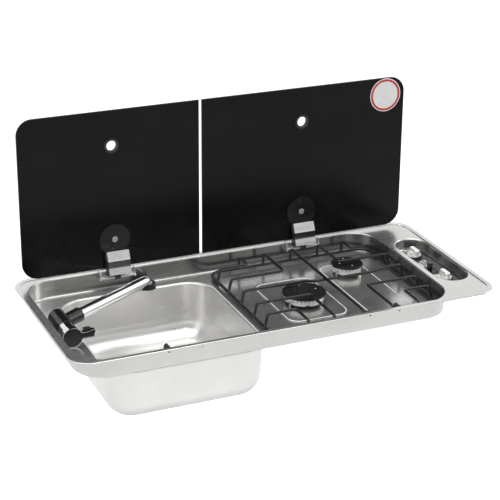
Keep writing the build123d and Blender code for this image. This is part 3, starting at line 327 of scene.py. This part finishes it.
def yellow_brass(name):
    """Turned brass with dull patches."""
    shader = Shader(name, (0.72, 0.55, 0.26), metallic=1.0, roughness=0.33)
    dull = shader.noise(70.0, detail=5, seed=9.0)
    shader.colour(shader.fade(dull, 0.35, 0.8, (0.74, 0.57, 0.27), (0.42, 0.31, 0.15)))
    shader.rough(shader.ramp(dull, 0.3, 0.8, 0.25, 0.5))
    shader.bump(shader.noise(1.0, detail=2, stretch=(900, 900, 40)), 0.00003, 0.5)
    return shader.mat


def rubber(name):
    """Black rubber with a little dust."""
    shader = Shader(name, (0.014, 0.014, 0.014), roughness=0.72)
    dust = shader.noise(120.0, detail=5, seed=2.2)
    shader.colour(shader.fade(dust, 0.45, 0.85, (0.012, 0.012, 0.012), (0.05, 0.05, 0.048)))
    shader.rough(shader.ramp(dust, 0.3, 0.8, 0.6, 0.85))
    shader.bump(shader.noise(900.0, detail=3), 0.00006, 0.6)
    return shader.mat


def ceramic(name):
    """Glazed white ceramic with brown specks."""
    shader = Shader(name, (0.80, 0.78, 0.72), roughness=0.25)
    speck = shader.noise(400.0, detail=3)
    shader.colour(shader.fade(speck, 0.5, 0.8, (0.82, 0.80, 0.75), (0.62, 0.57, 0.48)))
    shader.rough(shader.ramp(speck, 0.3, 0.8, 0.2, 0.4))
    return shader.mat


def tinted_glass(name):
    """Black-backed toughened glass with faint dust and wiping marks."""
    shader = Shader(name, (0.0045, 0.0045, 0.0050), roughness=0.22, Specular_IOR_Level=0.16)
    wipe = shader.noise(6.0, detail=6, stretch=(1, 1, 1.6), seed=7.7)
    shader.colour(shader.fade(wipe, 0.45, 0.85, (0.0040, 0.0040, 0.0046), (0.0085, 0.0085, 0.0085)))
    shader.rough(shader.ramp(wipe, 0.35, 0.8, 0.18, 0.30))
    shader.bump(shader.noise(5.0, detail=1, seed=1.0), 0.0004, 0.05)
    return shader.mat


def glass_rim(name):
    """The ground and polished edge of the glass, slightly green, and paler partly from its own
    ground tone and partly as a painted highlight.
    """
    # Partly painted highlight: the rim is far paler than the glass it edges.
    shader = Shader(name, (0.30, 0.33, 0.32), roughness=0.22, IOR=1.50)
    streak = shader.noise(1.0, detail=3, stretch=(40, 40, 40))
    shader.colour(shader.fade(streak, 0.3, 0.7, (0.34, 0.37, 0.36), (0.22, 0.25, 0.24)))
    shader.rough(shader.ramp(streak, 0.3, 0.7, 0.15, 0.3))
    return shader.mat


def print_ink(name, colour, darker):
    """Printed ink that has faded in places."""
    shader = Shader(name, colour, roughness=0.38)
    fade = shader.noise(160.0, detail=4, seed=3.3)
    shader.colour(shader.fade(fade, 0.4, 0.8, colour, darker))
    shader.rough(shader.ramp(fade, 0.3, 0.8, 0.32, 0.48))
    shader.bump(shader.noise(1100.0, detail=2), 0.00002, 0.4)
    return shader.mat


TRAY_STEEL = stainless(
    "tray_steel", (0.67, 0.665, 0.655), (0.61, 0.605, 0.595), 0.22, (9, 420, 420), True
)
BOWL_STEEL = stainless(
    "bowl_steel", (0.80, 0.795, 0.785), (0.74, 0.735, 0.725), 0.32, (12, 420, 160)
)
PLAIN_STEEL = stainless(
    "plain_steel", (0.55, 0.55, 0.54), (0.42, 0.42, 0.41), 0.38, (300, 300, 60)
)
CHROME = chrome("chrome_plate")
SATIN_CHROME = chrome("satin_chrome", 0.16)
# Painted highlight: a pale, mostly matt plating, so that edge beads and cap pips show as bright
# lines and dots under any light.
EDGE_PAINTED_HIGHLIGHT = chrome("painted_highlight_edge", 0.30, (0.93, 0.93, 0.92), (0.86, 0.86, 0.85), 0.25)
COVER_STEEL = cover_steel("cover_steel")
KNOB_PLATE = chrome("knob_plate", 0.24, (0.88, 0.88, 0.87), (0.80, 0.80, 0.79), 0.55)
BLACK_PLASTIC = plastic("black_plastic", (0.013, 0.013, 0.013), (0.032, 0.032, 0.032), 0.38)
GLOSS_BLACK = plastic("gloss_black", (0.010, 0.010, 0.010), (0.016, 0.016, 0.016), 0.16, 0.00001)
BLACK_ENAMEL = enamel("black_enamel")
WIRE_ENAMEL = enamel("wire_enamel", (0.010, 0.010, 0.010), 0.5)
ALLOY = cast_alloy("burner_alloy")
BRASS = yellow_brass("yellow_brass")
RUBBER = rubber("black_rubber")
CERAMIC = ceramic("white_ceramic")
GLASS = tinted_glass("black_glass")
GLASS_RIM = glass_rim("glass_rim")
WHITE_INK = print_ink("white_ink", (0.90, 0.90, 0.89), (0.82, 0.81, 0.80))
RED_INK = print_ink("red_ink", (0.62, 0.025, 0.03), (0.48, 0.03, 0.035))

FINISHES = {
    "sink_tray": TRAY_STEEL,
    "sink_bowl": BOWL_STEEL,
    "waste_strainer": PLAIN_STEEL,
    "waste_body": BLACK_PLASTIC,
    "waste_seal": RUBBER,
    "flange_seal": RUBBER,
    "pan_support_frame": WIRE_ENAMEL,
    "pan_support_bars": WIRE_ENAMEL,
    "pan_support_feet": RUBBER,
    "big_burner_cap": BLACK_ENAMEL,
    "small_burner_cap": BLACK_ENAMEL,
    "big_burner_crown": ALLOY,
    "small_burner_crown": ALLOY,
    "big_burner_cup": BLACK_ENAMEL,
    "small_burner_cup": BLACK_ENAMEL,
    "injectors": BRASS,
    "electrodes": CERAMIC,
    "thermocouples": PLAIN_STEEL,
    "gas_rail": PLAIN_STEEL,
    "big_burner_pipe": ALLOY,
    "small_burner_pipe": ALLOY,
    "front_valve": BRASS,
    "rear_valve": BRASS,
    "front_valve_collar": BRASS,
    "rear_valve_collar": BRASS,
    "front_spindle": PLAIN_STEEL,
    "rear_spindle": PLAIN_STEEL,
    "front_knob": KNOB_PLATE,
    "rear_knob": KNOB_PLATE,
    "knob_bezels": GLOSS_BLACK,
    "control_plate": CHROME,
    "igniter_button": GLOSS_BLACK,
    "igniter_module": BLACK_PLASTIC,
    "lid_bumpers": RUBBER,
    "hinge_brackets": SATIN_CHROME,
    "hinge_pins": PLAIN_STEEL,
    "left_lid": GLASS,
    "right_lid": GLASS,
    "left_grommet": GLOSS_BLACK,
    "right_grommet": GLOSS_BLACK,
    "left_hinge_leaf": GLOSS_BLACK,
    "right_hinge_leaf": GLOSS_BLACK,
    "left_hinge_cover": COVER_STEEL,
    "right_hinge_cover": COVER_STEEL,
    "left_back_disc": BLACK_PLASTIC,
    "right_back_disc": BLACK_PLASTIC,
    "left_lid_screw": PLAIN_STEEL,
    "right_lid_screw": PLAIN_STEEL,
    "lid_sign": WHITE_INK,
    "tap_base": BLACK_PLASTIC,
    "tap_tail": BRASS,
    "tap_nut": BRASS,
    "tap_ring": CHROME,
    "tap_elbow": GLOSS_BLACK,
    "tap_spout": CHROME,
    "tap_nozzle": GLOSS_BLACK,
    "tap_lever": CHROME,
    "tap_lever_face": GLOSS_BLACK,
    "tap_side_plate": SATIN_CHROME,
    "tap_side_block": BLACK_PLASTIC,
}
for name, finish in FINISHES.items():
    node = NODES[name]
    node.data.materials.clear()
    node.data.materials.append(finish)


# ------------------------------------------------------- edges of the CAD nodes
# How wide the sharp edges of each node are rounded, in mm.
EDGE_ROUNDS = {
    "left_lid": 0.7, "right_lid": 0.7, "control_plate": 0.4, "tap_side_plate": 0.3,
    "tap_side_block": 0.6, "left_hinge_cover": 0.25, "right_hinge_cover": 0.25,
    "hinge_brackets": 0.3, "knob_bezels": 0.4, "igniter_module": 0.4, "igniter_button": 0.3,
    "front_knob": 0.5, "rear_knob": 0.5, "tap_lever": 0.35, "tap_lever_face": 0.15,
    "tap_base": 0.4, "tap_elbow": 0.4, "tap_nozzle": 0.5, "left_back_disc": 0.5,
    "right_back_disc": 0.5, "lid_bumpers": 0.6, "pan_support_feet": 0.6,
    "big_burner_crown": 0.25, "small_burner_crown": 0.25, "tap_nut": 0.5,
    "front_valve": 0.5, "rear_valve": 0.5, "gas_rail": 0.4,
}
# Only edges that turn by more than this are rounded.
EDGE_ANGLE = math.radians(38)
for name, width in EDGE_ROUNDS.items():
    rounding = NODES[name].modifiers.new("edge_round", "BEVEL")
    rounding.width = width * MM
    rounding.segments = 2
    rounding.limit_method = "ANGLE"
    rounding.angle_limit = EDGE_ANGLE
    rounding.use_clamp_overlap = True
    rounding.harden_normals = False
for name in ("left_lid", "right_lid"):
    NODES[name].data.materials.append(GLASS_RIM)
    NODES[name].modifiers["edge_round"].material = 1


# --------------------------------------------------------------- detail pieces
def piece(name, work, material, body):
    """A smooth mesh piece from bmesh work, riding on a body."""
    mesh = bpy.data.meshes.new(name)
    bmesh.ops.recalc_face_normals(work, faces=work.faces)
    work.to_mesh(mesh)
    work.free()
    for face in mesh.polygons:
        face.use_smooth = True
    mesh.materials.append(material)
    made = bpy.data.objects.new(name, mesh)
    bpy.context.scene.collection.objects.link(made)
    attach(made, body)


def box_mm(node):
    """Lowest and highest corner of a CAD node at rest, in mm."""
    low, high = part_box(node)
    return low / MM, high / MM


def join_rings(work, rings):
    """Faces between each ring of a closed sweep and the next."""
    for near, far in zip(rings, rings[1:] + rings[:1]):
        for i in range(len(near)):
            j = (i + 1) % len(near)
            work.faces.new((near[i], far[i], far[j], near[j]))


def flat_ring(work, inner, outer, low, high, place, steps):
    """A ring of rectangular section round the Z axis of a place, its sizes in mm."""
    section = [(inner, low), (outer, low), (outer, high), (inner, high)]
    rings = []
    for step in range(steps):
        angle = 2 * math.pi * step / steps
        across, back = math.cos(angle), math.sin(angle)
        rings.append([
            work.verts.new(place @ Vector((r * MM * across, r * MM * back, h * MM)))
            for r, h in section
        ])
    join_rings(work, rings)


# The front face of the open lids: its lean in degrees, and where its foot is.
LID_TILT = 1.5
LID_FACE_Y = 181.7
LID_FOOT_Z = 8.6


def on_lid(x, up, proud):
    """A place on the open lids' front face, from sizes in mm: its Z is out of the glass."""
    lean = math.radians(LID_TILT)
    out = Vector((0, -math.cos(lean), math.sin(lean)))
    rise = Vector((0, math.sin(lean), math.cos(lean)))
    across = Vector((1, 0, 0))
    foot = Vector((x * MM, LID_FACE_Y * MM, LID_FOOT_Z * MM))
    spot = foot + rise * up * MM + out * proud * MM
    return Matrix.Translation(spot) @ Matrix((across, rise, out)).transposed().to_4x4()


# The red ring printed on the sign.
SIGN_X, SIGN_UP = 383.0, 295.8
SIGN_THICK = 0.4
RING_IN, RING_OUT = 29.5, 34.2
RING_SUNK, RING_THICK = 0.01, 0.06
RING_STEPS = 96
ring = bmesh.new()
sign_face = on_lid(SIGN_X, SIGN_UP, SIGN_THICK - RING_SUNK)
flat_ring(ring, RING_IN, RING_OUT, 0.0, RING_THICK, sign_face, RING_STEPS)
piece("sign_ring", ring, RED_INK, "right_lid_body")


def rounded_path(left, right, front, back, corner, steps=12):
    """Points and outward directions round a rectangle with round corners, in mm."""
    path = []
    centres = (
        (right - corner, back - corner), (left + corner, back - corner),
        (left + corner, front + corner), (right - corner, front + corner),
    )
    for quarter, (x, y) in enumerate(centres):
        for step in range(steps + 1):
            angle = math.pi / 2 * (quarter + step / steps)
            out = Vector((math.cos(angle), math.sin(angle), 0))
            path.append((Vector((x, y, 0)) + out * corner, out))
    return path


# Beads along the pressed edges, in mm: how many faces their round side has, and how
# far they go into the sheet.
BEAD_SIDES = 6
BEAD_SUNK = 0.3


def edge_bead(name, sides, corner, level, half, high, grow):
    """A low half-round bead along a pressed edge, moved outward from its sides by grow."""
    left, right, front, back = sides
    path = rounded_path(left - grow, right + grow, front - grow, back + grow, corner + grow)
    turns = [math.pi * k / BEAD_SIDES for k in range(BEAD_SIDES + 1)]
    profile = [(half * math.cos(turn), high * math.sin(turn)) for turn in turns]
    profile += [(-half, -BEAD_SUNK), (half, -BEAD_SUNK)]
    work = bmesh.new()
    join_rings(work, [
        [work.verts.new((spot + out * u + Vector((0, 0, level + w))) * MM) for u, w in profile]
        for spot, out in path
    ])
    # The bead is pale as a painted highlight along the edge.
    piece(name, work, EDGE_PAINTED_HIGHLIGHT, "base")


# Left, right, front and back of the raised islands, and their height, in mm.
BIG_ISLAND = (31.5, 162.5, -109.5, 82.0)
SMALL_ISLAND = (196.5, 293.5, -168.0, 118.0)
ISLAND_TOP = -37.5
for name, sides in (("big_island_edge", BIG_ISLAND), ("small_island_edge", SMALL_ISLAND)):
    edge_bead(name, sides, corner=25.0, level=ISLAND_TOP, half=1.3, high=0.7, grow=-0.9)

low, high = box_mm("sink_bowl")
bowl_sides = (low.x, high.x, low.y, high.y)
edge_bead("bowl_weld", bowl_sides, corner=60.0, level=high.z, half=1.5, high=0.9, grow=-0.4)

# How much a lump's surface varies, as a share of its size.
BLOB_UNEVEN = 0.06


def blob(work, spot, size, seed):
    """One melted lump: a small sphere with a seeded unevenness."""
    rng = random.Random(seed)
    made = bmesh.ops.create_uvsphere(work, u_segments=12, v_segments=8, radius=1.0)
    for vert in made["verts"]:
        uneven = 1.0 + rng.uniform(-BLOB_UNEVEN, BLOB_UNEVEN)
        vert.co = (Vector(spot) + Vector([c * r * uneven for c, r in zip(vert.co, size)])) * MM


# Welds of the pan support, in mm: at the foot of each bar, where it ends on the frame,
# and where the long bar and the cross bar meet. The corner bars have one foot at the
# front or back of the frame and one on its left or right, which is a little in front
# of the bar's own line.
FRAME_WIRE_R, BAR_WIRE_R = 3.3, 3.0
CORNER_BARS_X = (36.7, 93.0, 221.0, 279.0)
CORNER_BARS_Y = (119.0, 62.0, -116.0, -64.0)
CORNER_FOOT_BACK = -4.0
LONG_BAR_X = 157.0
CROSS_BAR_Y = 0.0
CROSS_FEET_BACK = (-6.0, 4.0)
WELD, WELD_UP = (4.1, 4.1, 3.5), 1.2
CROSSING_WELD, CROSSING_DOWN = (3.8, 3.8, 3.6), 2.6
low, high = box_mm("pan_support_frame")
left, right = low.x + FRAME_WIRE_R, high.x - FRAME_WIRE_R
front, back = low.y + FRAME_WIRE_R, high.y - FRAME_WIRE_R
foot_z = (low.z + high.z) / 2 + WELD_UP
bars_z = box_mm("pan_support_bars")[1].z - BAR_WIRE_R
feet = [(x, y) for x in (*CORNER_BARS_X, LONG_BAR_X) for y in (front, back)]
feet += [(x, y + CORNER_FOOT_BACK) for x in (left, right) for y in CORNER_BARS_Y]
feet += [(x, CROSS_BAR_Y + step) for x, step in zip((left, right), CROSS_FEET_BACK)]
welds = bmesh.new()
for seed, (x, y) in enumerate(feet):
    blob(welds, (x, y, foot_z), WELD, seed)
blob(welds, (LONG_BAR_X, CROSS_BAR_Y, bars_z - CROSSING_DOWN), CROSSING_WELD, len(feet))
piece("pan_support_welds", welds, WIRE_ENAMEL, "base")

# Small pips on the burner caps, pale as painted glints, in mm from the middle of the burner. A ray
# straight down from above the cap finds the height of its dome.
PIP = (1.5, 1.5, 0.8)
FIRST_PIP_SEED = 70
ABOVE_CAPS = 20.0
for burner, places in (
    ("big_burner", ((2.7, 29.0), (-1.6, -23.0), (27.0, 3.0))),
    ("small_burner", ((2.5, 22.0), (-17.0, 1.4), (3.3, -19.0))),
):
    low, high = box_mm(burner + "_cup")
    middle = (low + high) / 2
    pips = bmesh.new()
    for seed, (right_by, back_by) in enumerate(places, FIRST_PIP_SEED):
        above = Vector((middle.x + right_by, middle.y + back_by, ABOVE_CAPS)) * MM
        _, spot, _, _ = NODES[burner + "_cap"].ray_cast(above, Vector((0, 0, -1)))
        blob(pips, spot / MM, PIP, seed)
    # Painted glints: the pips take the pale highlight plating.
    piece(burner + "_cap_pips", pips, EDGE_PAINTED_HIGHLIGHT, "base")

# The turned-up front lip of each hinge bracket, in mm, on both sides of its notch.
BRACKET_HALF, BRACKET_FRONT, BRACKET_BOTTOM = 38.7, 170.8, -12.5
NOTCH = 14.0
LIP_R = 0.8
LIP_STEPS = 8


def bracket_lip(work, left, right):
    """An oval rod along the bracket's front edge, twice as high as it is deep."""
    middle_y = BRACKET_FRONT + LIP_R
    middle_z = BRACKET_BOTTOM + 2 * LIP_R
    turns = [2 * math.pi * k / LIP_STEPS for k in range(LIP_STEPS)]
    ends = [
        [
            work.verts.new(Vector((
                x, middle_y + LIP_R * math.cos(turn), middle_z + 2 * LIP_R * math.sin(turn)
            )) * MM)
            for turn in turns
        ]
        for x in (left, right)
    ]
    for k in range(LIP_STEPS):
        j = (k + 1) % LIP_STEPS
        work.faces.new((ends[0][k], ends[1][k], ends[1][j], ends[0][j]))
    work.faces.new(ends[0])
    work.faces.new(list(reversed(ends[1])))


lips = bmesh.new()
low, high = box_mm("hinge_brackets")
for hinge_x in (low.x + BRACKET_HALF, high.x - BRACKET_HALF):
    bracket_lip(lips, hinge_x - BRACKET_HALF, hinge_x - NOTCH / 2)
    bracket_lip(lips, hinge_x + NOTCH / 2, hinge_x + BRACKET_HALF)
piece("bracket_lips", lips, CHROME, "base")

# The index dot sunk in the top of each knob: a disc with a pinhole, in mm.
DOT_AWAY = 10.5
DOT_HOLE, DOT_R = 0.15, 1.2
DOT_LOW, DOT_HIGH = -0.5, 0.10
DOT_STEPS = 24
for side in ("front", "rear"):
    low, high = box_mm(f"{side}_knob")
    spot = Vector(((low.x + high.x) / 2, (low.y + high.y) / 2 - DOT_AWAY, high.z))
    dot = bmesh.new()
    flat_ring(dot, DOT_HOLE, DOT_R, DOT_LOW, DOT_HIGH, Matrix.Translation(spot * MM), DOT_STEPS)
    piece(f"{side}_knob_dot", dot, GLOSS_BLACK, f"{side}_knob_body")


# ---------------------------------------------------------- stage, light, camera
# The floor: its height and half its size in metres, how much it glows, and the share
# of that glow that mirrors and glass show.
FLOOR_Z = -0.60
FLOOR_HALF = 20.0
FLOOR_GLOW = 0.65
MIRRORED_SHARE = 0.35


def pale_floor():
    """Matt pale paint with an even glow."""
    shader = Shader("pale_floor", (0.90, 0.90, 0.90), roughness=0.9, Specular_IOR_Level=0.0)
    ray = shader.node("ShaderNodeLightPath")
    mirrored = shader.math("ADD", ray.outputs["Is Glossy Ray"], ray.outputs["Is Transmission Ray"])
    mirrored = shader.math("MULTIPLY", mirrored, MIRRORED_SHARE)
    seen = shader.math("MINIMUM", shader.math("ADD", ray.outputs["Is Camera Ray"], mirrored), 1.0)
    glow = shader.node("ShaderNodeEmission")
    glow.inputs["Color"].default_value = (1, 1, 1, 1)
    shader.link(shader.math("MULTIPLY", seen, FLOOR_GLOW), glow.inputs["Strength"])
    both = shader.node("ShaderNodeAddShader")
    shader.link(shader.bsdf.outputs[0], both.inputs[0])
    shader.link(glow.outputs[0], both.inputs[1])
    shader.link(both.outputs[0], shader.tree.nodes["Material Output"].inputs["Surface"])
    return shader.mat


floor_mesh = bpy.data.meshes.new("floor")
plan = bmesh.new()
bmesh.ops.create_grid(plan, x_segments=8, y_segments=8, size=FLOOR_HALF)
plan.to_mesh(floor_mesh)
plan.free()
floor_mesh.materials.append(pale_floor())
floor = bpy.data.objects.new("floor", floor_mesh)
floor.location.z = FLOOR_Z
bpy.context.scene.collection.objects.link(floor)
floor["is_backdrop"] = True

# The sky that lights matt surfaces: its grey below and above, the Z of the direction
# looked in over which one turns into the other, and its strength.
SKY_LOW, SKY_HIGH = (0.55, 0.55, 0.55), (0.95, 0.95, 0.95)
SKY_RISE = (-0.1, 0.9)
SKY_STRENGTH = 0.55
# A white room with a dim part high up in front: the Z and Y of the direction looked
# in over which that part fades in.
WHITE_ROOM, DIM_ROOM = (1.0, 1.0, 1.0), (0.22, 0.22, 0.22)
DIM_UP_FADE = (0.45, 0.70)
DIM_BACK_FADE = (-0.55, -0.10)


def light_room(world):
    """Sky light for matt surfaces; the camera, bright metal and glass see the room."""
    nodes = Nodes(world.node_tree)
    way = nodes.split(nodes.node("ShaderNodeTexCoord").outputs["Generated"])
    sky = nodes.tree.nodes["Background"]
    nodes.link(nodes.fade(way["Z"], *SKY_RISE, SKY_LOW, SKY_HIGH), sky.inputs["Color"])
    sky.inputs["Strength"].default_value = SKY_STRENGTH

    room = nodes.node("ShaderNodeBackground")
    high_up = nodes.ramp(way["Z"], *DIM_UP_FADE, 0.0, 1.0, "SMOOTHSTEP")
    in_front = nodes.ramp(way["Y"], *DIM_BACK_FADE, 1.0, 0.0, "SMOOTHSTEP")
    dim = nodes.math("MULTIPLY", high_up, in_front)
    nodes.link(nodes.mix(dim, WHITE_ROOM, DIM_ROOM), room.inputs["Color"])
    room.inputs["Strength"].default_value = 1.0

    ray = nodes.node("ShaderNodeLightPath")
    seen = ray.outputs["Is Camera Ray"]
    for kind in ("Is Glossy Ray", "Is Transmission Ray"):
        seen = nodes.math("MAXIMUM", seen, ray.outputs[kind])
    chosen = nodes.node("ShaderNodeMixShader")
    nodes.link(seen, chosen.inputs[0])
    nodes.link(sky.outputs[0], chosen.inputs[1])
    nodes.link(room.outputs[0], chosen.inputs[2])
    nodes.link(chosen.outputs[0], nodes.tree.nodes["World Output"].inputs["Surface"])


studio = bpy.data.worlds.new("studio")
studio.use_nodes = True
light_room(studio)
bpy.context.scene.world = studio


def softbox(name, place, aim, width, height, power):
    """A wide lamp that the camera doesn't see, turned to what it lights."""
    light = bpy.data.lights.new(name, "AREA")
    light.shape = "RECTANGLE"
    light.size, light.size_y = width, height
    light.energy = power
    lamp = bpy.data.objects.new(name, light)
    lamp.location = place
    lamp.rotation_mode = "QUATERNION"
    lamp.rotation_quaternion = (Vector(aim) - Vector(place)).to_track_quat("-Z", "Y")
    lamp.visible_camera = False
    bpy.context.scene.collection.objects.link(lamp)


# The lamps: name, place, aim, width and height in metres, and power in watts.
MIDDLE = (0, 0, 0)
ABOVE_MIDDLE = (0, 0, 0.1)
for name, place, aim, width, height, power in (
    ("top_box", (0.1, 0.1, 2.4), MIDDLE, 2.6, 2.2, 50.0),
    ("left_box", (-2.6, -0.6, 1.3), MIDDLE, 1.4, 1.6, 4.0),
    ("right_box", (2.6, -0.3, 1.2), MIDDLE, 1.4, 1.6, 14.0),
    ("back_box", (0.4, 2.6, 1.8), ABOVE_MIDDLE, 2.4, 1.2, 2.0),
    ("front_box", (-0.6, -3.4, 0.9), ABOVE_MIDDLE, 3.0, 1.6, 7.0),
):
    softbox(name, place, aim, width, height, power)

# The camera: yaw, pitch and roll in radians, focal length and centre in pixels of
# a square picture, and its place in metres.
YAW, PITCH, ROLL = 0.4157, 0.4075, 0.0143
FOCAL, CENTRE_X, CENTRE_Y = 1576.5933, 231.8046, 261.37
IMAGE = 500
SENSOR = 36.0
EYE = Vector((-1.210947, -2.626332, 1.3035005))
ahead = Vector(
    (math.sin(YAW) * math.cos(PITCH), math.cos(YAW) * math.cos(PITCH), -math.sin(PITCH))
)
level = Vector((math.cos(YAW), -math.sin(YAW), 0))
upward = level.cross(ahead)
cam_x = math.cos(ROLL) * level + math.sin(ROLL) * upward
cam_y = -math.sin(ROLL) * level + math.cos(ROLL) * upward
camera_data = bpy.data.cameras.new("camera")
camera = bpy.data.objects.new("camera", camera_data)
bpy.context.scene.collection.objects.link(camera)
camera_data.sensor_width = SENSOR
camera_data.lens = FOCAL * SENSOR / IMAGE
camera_data.shift_x = (IMAGE / 2 - CENTRE_X) / IMAGE
camera_data.shift_y = (CENTRE_Y - IMAGE / 2) / IMAGE
camera_data.clip_start, camera_data.clip_end = 0.05, 60.0
turned = Matrix((cam_x, cam_y, -ahead)).transposed().to_4x4()
camera.matrix_world = Matrix.Translation(EYE) @ turned
bpy.context.scene.camera = camera

bpy.context.scene.view_settings.view_transform = "Standard"

low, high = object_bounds()
